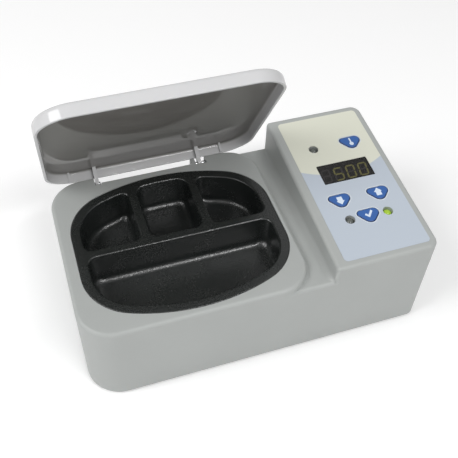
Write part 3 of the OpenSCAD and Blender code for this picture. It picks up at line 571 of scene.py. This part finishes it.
# The four keys are blue embossed pads with a darker rim and a pale sign printed on top.
# Each one is pressed half a millimetre down into its pocket against the switch under it.
key_blue = skin_material("key_blue", tone(54, 98, 165), 0.3, spread=0.1, grain=1500.0, depth=0.04)
blend_by_attribute(key_blue, "rim", tone(54, 98, 165), tone(24, 48, 98))
sign_ink = skin_material("sign_ink", tone(214, 226, 240), 0.35, spread=0.03, depth=0.02)
KEY_SIGNS = {
    "up_key": [(0.1, 3.2), (-2.3, 0.7), (-1.5, 0.4), (-1.6, -2.1), (1.6, -2.1), (1.6, 0.4), (2.4, 0.7)],
    "down_key": [
        (0, -3.2), (-2.4, -0.6), (-1.6, -0.4), (-1.6, 2.2), (1.5, 2.2), (1.6, -0.4), (2.4, -0.6)
    ],
    "units_key": arc(0.1, -1.6, 1.3, 110, 431, 20) + [(0.6, 2.5), (0.1, 3.0), (-0.4, 2.5)],
    "set_key": [(-2.4, 0.3), (-1.5, 1.2), (-0.3, 0), (2.0, 2.9), (2.9, 2.0), (-0.2, -1.9)],
}
PAD_PROFILE = (
    (0, -1.1), (0, 0.1), (0.1, 0.28), (0.28, 0.42),
    (0.55, 0.52), (0.95, 0.575), (1.5, 0.59), (1.75, 0.59),
)
STEM_PROFILE = ((1.8, -1.05), (1.8, -9.2), (1.6, -9.4))
for key, middle in KEY_PLACES.items():
    key_mesh = bmesh.new()
    rim_layer = key_mesh.verts.layers.float.new("rim")
    pad_loops = [[(*point, z) for point in key_loop(middle, -inset)] for inset, z in PAD_PROFILE]
    rings = loft(key_mesh, pad_loops)
    for ring, (inset, z) in zip(rings, PAD_PROFILE):
        for vert in ring:
            vert[rim_layer] = max(0.0, 1 - inset / 0.6)
    loft(key_mesh, [round_loop(*middle, r, z, 24) for r, z in STEM_PROFILE])
    pad = finished(on_slope(key_mesh), key + "_pad", key_blue, key, crease=50)
    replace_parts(pad, key)
    sign_mesh = bmesh.new()
    placed = [(middle[0] + x, middle[1] + y) for x, y in KEY_SIGNS[key]]
    flat_piece(sign_mesh, placed, None, 0.57, 0.62)
    finished(on_slope(sign_mesh), key + "_sign", sign_ink, key)

# The display is a common four-digit LED module behind a smoked window that lies flush in the label.
# Unlit segments show faintly grey by a painted glow that stands in for the light they would reflect
# through the window; the lit ones glow a dim olive.
smoked_window = skin_material(
    "smoked_window", tone(112, 110, 108), 0.04, spread=0.02, gloss_spread=0.02, depth=0.0,
    Transmission_Weight=1.0, IOR=1.49,
)
dress(["display_window"], smoked_window)
display_face = skin_material("display_face", tone(38, 38, 38), 0.5, spread=0.1)
dress(["display_module"], display_face)
# Painted light: the unlit segments emit a faint grey glow, though they are not lit.
segment_off_painted_glow = skin_material(
    "segment_off_painted_glow", tone(92, 88, 92), 0.5, spread=0.1,
    Emission_Color=tone(92, 88, 92), Emission_Strength=0.9,
)
segment_lit = skin_material(
    "segment_lit", tone(120, 118, 60), 0.5, spread=0.1,
    Emission_Color=tone(168, 166, 96), Emission_Strength=1.5,
)
DIGIT_W, DIGIT_H, DIGIT_PITCH, SEGMENT_W, SLANT = 4.7, 8.6, 7.6, 0.95, math.tan(math.radians(7))
SEGMENT_BACK, SEGMENT_FACE, DISPLAY_MIDDLE = -3.02, -2.92, (31.1, 62)
half_w, half_h, half_s = DIGIT_W / 2, DIGIT_H / 2, SEGMENT_W / 2
SEGMENTS = {
    "a": ((-half_w, half_h), (half_w, half_h)),
    "g": ((-half_w, 0), (half_w, 0)),
    "d": ((-half_w, -half_h), (half_w, -half_h)),
    "f": ((-half_w, 0), (-half_w, half_h)), "b": ((half_w, 0), (half_w, half_h)),
    "e": ((-half_w, -half_h), (-half_w, 0)), "c": ((half_w, -half_h), (half_w, 0)),
}
SHOWN_DIGITS = ("", "acdfg", "abcdef", "abcdef")


def segment_outline(start, end, middle):
    """A long hexagon from start to end, slanted like the whole digit."""
    along = (Vector(end) - Vector(start)).normalized()
    side = Vector((-along.y, along.x)) * half_s
    a, b = Vector(start) + along * 0.12, Vector(end) - along * 0.12
    inner_a, inner_b = a + along * half_s, b - along * half_s
    corners = [a, inner_a - side, inner_b - side, b, inner_b + side, inner_a + side]
    return [(middle[0] + p.x + p.y * SLANT, middle[1] + p.y) for p in corners]


segment_meshes = {True: bmesh.new(), False: bmesh.new()}
for i, shown in enumerate(SHOWN_DIGITS):
    middle = (DISPLAY_MIDDLE[0] + (i - 1.5) * DIGIT_PITCH, DISPLAY_MIDDLE[1])
    for name, (start, end) in SEGMENTS.items():
        outline = segment_outline(start, end, middle)
        flat_piece(segment_meshes[name in shown], outline, None, SEGMENT_BACK, SEGMENT_FACE)
finished(on_slope(segment_meshes[True]), "lit_segments", segment_lit, "housing")
finished(on_slope(segment_meshes[False]), "unlit_segments", segment_off_painted_glow, "housing")

# Three round 5 mm indicators stand a little below the label in their openings.
# Two are dark; the lower right one is lit a yellow green.
dark_resin = skin_material("dark_resin", tone(92, 96, 92), 0.18, depth=0.02, Coat_Weight=0.6)
lit_resin = skin_material(
    "lit_resin", tone(140, 168, 40), 0.2, depth=0.02, Coat_Weight=0.6,
    Emission_Color=tone(150, 190, 40), Emission_Strength=0.35,
)
LENS_PROFILE = [(1.9, -8.0), (2.75, -8.0), (2.8, -7.9), (2.8, -7.1), (2.75, -7.0)]
LENS_PROFILE += [(2.5, -7.0), (2.5, -3.0)]
LENS_PROFILE += arc(0, -3, 2.5, 9, 90, 9)
for node, middle, resin, slot in (
    ("upper_led", (19.3, 81.9), dark_resin, "dark_led"),
    ("lower_left_led", (19.3, 28.8), dark_resin, "dark_led"),
    ("lower_right_led", (42.0, 28.8), lit_resin, "lit_led"),
):
    led_mesh = bmesh.new()
    loft(led_mesh, [round_loop(*middle, r, z, 40) for r, z in LENS_PROFILE])
    lens = finished(on_slope(led_mesh), node + "_lens", resin, "housing")
    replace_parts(lens, node)

# The mains inlet and the rocker switch snap into the back wall of the console.
# Both are black moulded parts; the rocker is red and its blades and the inlet's are plated.
black_plastic = skin_material("black_plastic", tone(30, 30, 31), 0.4, spread=0.3)
rocker_plastic = skin_material("rocker_plastic", tone(150, 24, 18), 0.28, spread=0.1, depth=0.03)


def keep_shape(node, material, body, edge=0.25):
    """A joined copy of a CAD node with its edges slightly rounded, which stands for the node."""
    piece = finished(merged_copy(node), node + "_part", material, body)
    soft = piece.modifiers.new("edges", "BEVEL")
    soft.width = edge * MM
    soft.segments = 2
    soft.limit_method = "ANGLE"
    soft.angle_limit = math.radians(40)
    piece.modifiers.move(1, 0)
    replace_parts(piece, node)
    return piece


keep_shape("power_inlet", black_plastic, "housing")
keep_shape("rocker_frame", black_plastic, "housing", edge=0.2)
keep_shape("rocker", rocker_plastic, "rocker", edge=0.3)
dress(["inlet_contacts"], bright_steel)

# The base plate is dark grey ABS with vent slots under the heater and the power board.
# Four rubber feet sit in its shallow seats, four screws hold it, and a bare foil plate is stuck on.
base_plastic = skin_material("base_plastic", tone(62, 64, 66), 0.55, spread=0.2)
foot_rubber = skin_material("foot_rubber", tone(26, 26, 26), 0.85, spread=0.4, grain=900.0, depth=0.3)
foil = skin_material("foil", tone(196, 196, 196), 0.32, grain=600.0, depth=0.05, Metallic=0.9)
keep_shape("base_plate", base_plastic, "housing", edge=0.3)
dress(["feet"], foot_rubber)
dress(["rating_plate"], foil)

# Pan head screws of bright zinc steel hold the base, the pan and both boards.
# The screws of a set are alike, so a node tree sets one out at each place and spins it at random.
zinc_steel = skin_material(
    "zinc_steel", tone(186, 188, 190), 0.35, grain=700.0, depth=0.1, Metallic=1.0
)
CROSS = [(5, -1), (5, 1), (1, 1), (1, 5), (-1, 5), (-1, 1)]
CROSS += [(-x, -y) for x, y in CROSS]


def new_screw_setter():
    """A node tree that puts one screw at every point of a mesh, tilted alike and spun at random."""
    tree = bpy.data.node_groups.new("screws_at_points", "GeometryNodeTree")
    wanted = (("Places", "Geometry"), ("Screw", "Object"), ("Tilt", "Vector"), ("Metal", "Material"))
    for name, kind in wanted:
        tree.interface.new_socket(name, in_out="INPUT", socket_type="NodeSocket" + kind)
    tree.interface.new_socket("Screws", in_out="OUTPUT", socket_type="NodeSocketGeometry")
    start = tree.nodes.new("NodeGroupInput")
    one = tree.nodes.new("GeometryNodeObjectInfo")
    tree.links.new(start.outputs["Screw"], one.inputs["Object"])
    placed = tree.nodes.new("GeometryNodeInstanceOnPoints")
    tree.links.new(start.outputs["Places"], placed.inputs["Points"])
    tree.links.new(one.outputs["Geometry"], placed.inputs["Instance"])
    tree.links.new(start.outputs["Tilt"], placed.inputs["Rotation"])
    angle = tree.nodes.new("FunctionNodeRandomValue")
    angle.data_type = "FLOAT_VECTOR"
    for limit, turn in (("Min", 0), ("Max", math.pi)):
        socket = next(s for s in angle.inputs if s.name == limit and s.type == "VECTOR")
        socket.default_value = (0, 0, turn)
    angle.inputs["Seed"].default_value = 7
    spun = tree.nodes.new("GeometryNodeRotateInstances")
    tree.links.new(placed.outputs["Instances"], spun.inputs["Instances"])
    tree.links.new(angle.outputs[0], spun.inputs["Rotation"])
    real = tree.nodes.new("GeometryNodeRealizeInstances")
    tree.links.new(spun.outputs["Instances"], real.inputs["Geometry"])
    plated = tree.nodes.new("GeometryNodeSetMaterial")
    tree.links.new(real.outputs["Geometry"], plated.inputs["Geometry"])
    tree.links.new(start.outputs["Metal"], plated.inputs["Material"])
    end = tree.nodes.new("NodeGroupOutput")
    tree.links.new(plated.outputs["Geometry"], end.inputs["Screws"])
    return tree


def screw_shape(shaft_r, shaft_l, head_r, head_h):
    """One screw that points up, the underside of its head at the origin."""
    bm = bmesh.new()
    section = [
        (shaft_r * 0.6, shaft_l), (shaft_r, shaft_l - shaft_r * 0.6), (shaft_r, 0),
        (head_r - 0.1, 0), (head_r, -0.1), (head_r, -head_h * 0.45),
        (head_r * 0.93, -head_h * 0.75), (head_r * 0.75, -head_h),
    ]
    rings = [round_loop(0, 0, r, z) for r, z in section]
    loft(bm, rings, close_end=False)
    recess = [
        [(x * size, y * size, z) for x, y in CROSS]
        for size, z in ((head_r * 0.12, -head_h), (head_r * 0.084, -head_h * 0.45))
    ]
    loft(bm, recess, close_start=False)
    flat_between(bm, [rings[-1], recess[0]], -head_h)
    bmesh.ops.remove_doubles(bm, verts=bm.verts, dist=1e-7)
    mesh = bpy.data.meshes.new("one_screw")
    bm.to_mesh(mesh)
    bm.free()
    return mesh


screw_setter = new_screw_setter()
LEFT_BOSS, RIGHT_BOSS, BASE_HEAD_Z = LEFT_X + 12.6, RIGHT_X - 8.6, 4.75
POWER_BOARD_TOP, UNDER_CONTROL_BOARD, UNDER_PAN = 12.7, -13.6, BATH_UNDER - 9.85
for node, sizes, tilt, places in (
    ("base_screws", (1.5, 11, 2.9, 2), (0, 0, 0),
     [(x, y * side, BASE_HEAD_Z)
      for x, y in ((LEFT_BOSS, 44), (RIGHT_BOSS, 46.5)) for side in (-1, 1)]),
    ("pan_screws", (1.25, 7, 2.8, 1.9), (0, 0, 0),
     [(BATH_X + BOSS_X * i, BATH_Y + BOSS_Y * j, UNDER_PAN) for i in (-1, 1) for j in (-1, 1)]),
    ("control_board_screws", (1.2, 7, 2.4, 1.6), (slope, 0, 0),
     [on_console @ (Vector((u, s, UNDER_CONTROL_BOARD - 0.05)) * MM) / MM
      for u in (11, 50.5) for s in (10.5, 98.5)]),
    ("power_board_screws", (1.2, 6.2, 2.6, 1.8), (math.pi, 0, 0),
     [(CONSOLE_X + x, y, POWER_BOARD_TOP + 0.05) for x in (9.7, 44.7) for y in (-36.5, 20.5)]),
):
    one_screw = bpy.data.objects.new("one_screw", screw_shape(*sizes))
    spots = bpy.data.meshes.new("screw_places")
    spots.from_pydata([Vector(place) * MM for place in places], [], [])
    carrier = bpy.data.objects.new("screw_places", spots)
    bpy.context.scene.collection.objects.link(carrier)
    setter = carrier.modifiers.new("screws", "NODES")
    setter.node_group = screw_setter
    given = {"Screw": one_screw, "Tilt": tilt, "Metal": zinc_steel}
    for item in screw_setter.interface.items_tree:
        if item.name in given:
            setter[item.identifier] = given[item.name]
    bpy.context.view_layer.update()
    evaluated = carrier.evaluated_get(bpy.context.evaluated_depsgraph_get())
    made = bpy.data.meshes.new_from_object(evaluated)
    carrier.modifiers.remove(setter)
    bpy.data.objects.remove(carrier)
    bpy.data.objects.remove(one_screw)
    screws_mesh = bmesh.new()
    screws_mesh.from_mesh(made)
    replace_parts(finished(screws_mesh, node + "_set", zinc_steel, "housing"), node)

# Under the bath lie the bonded silicone heating pad, the sensor, the thermal fuse and a felt blanket.
# A pressed aluminium pan holds them against the casting.
dress(["heating_pad"], skin_material("silicone_rubber", tone(198, 96, 52), 0.6, grain=800.0, depth=0.2))
felt = skin_material("ceramic_felt", tone(226, 223, 212), 0.95, spread=0.3, grain=500.0, depth=0.6)
dress(["insulation_blanket"], felt)
sheet = skin_material("sheet_aluminium", tone(190, 192, 194), 0.38, grain=500.0, Metallic=1.0)
dress(["heat_shield_pan"], sheet)
sensor_metal = skin_material("sensor_metal", tone(190, 184, 160), 0.35, Metallic=1.0)
dress(["temperature_sensor", "thermal_fuse"], sensor_metal)

# The control board hangs under the console's slope with its switches, indicators and controller.
# The power board stands on four pillars of the base with the transformer, relay and fuse.
board_mask = skin_material("solder_mask", tone(40, 104, 62), 0.4, spread=0.25, grain=700.0)
dress(["control_board", "power_board"], board_mask)
dress(["led_spacers", "key_switches", "controller_chip"], black_plastic)
core_steel = skin_material("core_steel", tone(110, 110, 114), 0.5, grain=500.0, Metallic=0.8)
dress(["transformer_core"], core_steel)
dress(["transformer_coil"], skin_material("coil_tape", tone(206, 176, 84), 0.45))
dress(["relay"], skin_material("relay_plastic", tone(46, 84, 150), 0.35))
dress(["capacitor"], skin_material("capacitor_sleeve", tone(36, 38, 44), 0.3))
dress(["terminal_block"], skin_material("terminal_plastic", tone(54, 124, 74), 0.45))
fuse_glass = skin_material("fuse_glass", tone(226, 232, 236), 0.08, depth=0.0, Transmission_Weight=0.8)
dress(["fuse"], fuse_glass)
dress(["fuse_clips"], skin_material("clip_brass", tone(206, 176, 110), 0.3, Metallic=1.0))

# Sleeved leads join the inlet to the switch and the power board, and the boards to heater and sensor.
# The earth lead ends on the pan, and a grey ribbon with a plug at each end joins the two boards.
dress(["heater_leads"], skin_material("lead_white", tone(222, 219, 208), 0.6, grain=900.0, depth=0.3))
dress(["sensor_lead"], skin_material("lead_black", tone(44, 44, 48), 0.5))
dress(["earth_lead"], skin_material("lead_green", tone(112, 158, 66), 0.45))
dress(["mains_leads"], skin_material("lead_brown", tone(104, 72, 48), 0.45))
dress(["ribbon_cable"], skin_material("ribbon_grey", tone(204, 204, 200), 0.5))

# The heater stands on a plain white floor in soft studio light.
# A long softbox lights it from the front right and a square one from the left.
floor_mesh = bpy.data.meshes.new("floor")
floor_mesh.from_pydata([(-3, -3, 0), (3, -3, 0), (3, 3, 0), (-3, 3, 0)], [], [(0, 1, 2, 3)])
floor = bpy.data.objects.new("floor", floor_mesh)
bpy.context.scene.collection.objects.link(floor)
floor_white = bpy.data.materials.new("floor_white")
floor_white.use_nodes = True
tree = floor_white.node_tree
shader = tree.nodes["Principled BSDF"]
shader.inputs["Base Color"].default_value = (0.93, 0.93, 0.93, 1)
shader.inputs["Roughness"].default_value = 0.9
shader.inputs["Emission Color"].default_value = (1, 1, 1, 1)
seen = tree.nodes.new("ShaderNodeLightPath")
lifted = calculated(tree, "MULTIPLY", seen.outputs["Is Camera Ray"], 0.13)
tree.links.new(lifted, shader.inputs["Emission Strength"])
floor_mesh.materials.append(floor_white)

world = bpy.data.worlds.new("studio")
bpy.context.scene.world = world
world.use_nodes = True
tree = world.node_tree
backdrop = tree.nodes["Background"]
seen = tree.nodes.new("ShaderNodeLightPath")
direct = calculated(
    tree, "MAXIMUM", seen.outputs["Is Camera Ray"], seen.outputs["Is Transmission Ray"]
)
strength = tree.nodes.new("ShaderNodeMapRange")
strength.inputs["To Min"].default_value = 0.48
strength.inputs["To Max"].default_value = 1.0
tree.links.new(direct, strength.inputs["Value"])
backdrop.inputs["Color"].default_value = (1, 1, 1, 1)
tree.links.new(strength.outputs["Result"], backdrop.inputs["Strength"])


def softbox(name, aim, distance, width, height, power):
    """An area light that faces the heater from a direction."""
    data = bpy.data.lights.new(name, "AREA")
    data.shape = "RECTANGLE"
    data.size, data.size_y, data.energy = width, height, power
    lamp = bpy.data.objects.new(name, data)
    lamp.location = Vector(aim).normalized() * distance + Vector((0, 0, 0.05))
    lamp.rotation_euler = Vector(aim).to_track_quat("Z", "Y").to_euler()
    bpy.context.scene.collection.objects.link(lamp)


softbox("front_softbox", (0.2256, -0.55, 0.80), 1.1, 0.5, 0.12, 4.3)
softbox("left_softbox", (-0.70, -0.08, 0.71), 1.3, 0.6, 0.6, 7.2)
bpy.context.scene.view_settings.view_transform = "Standard"
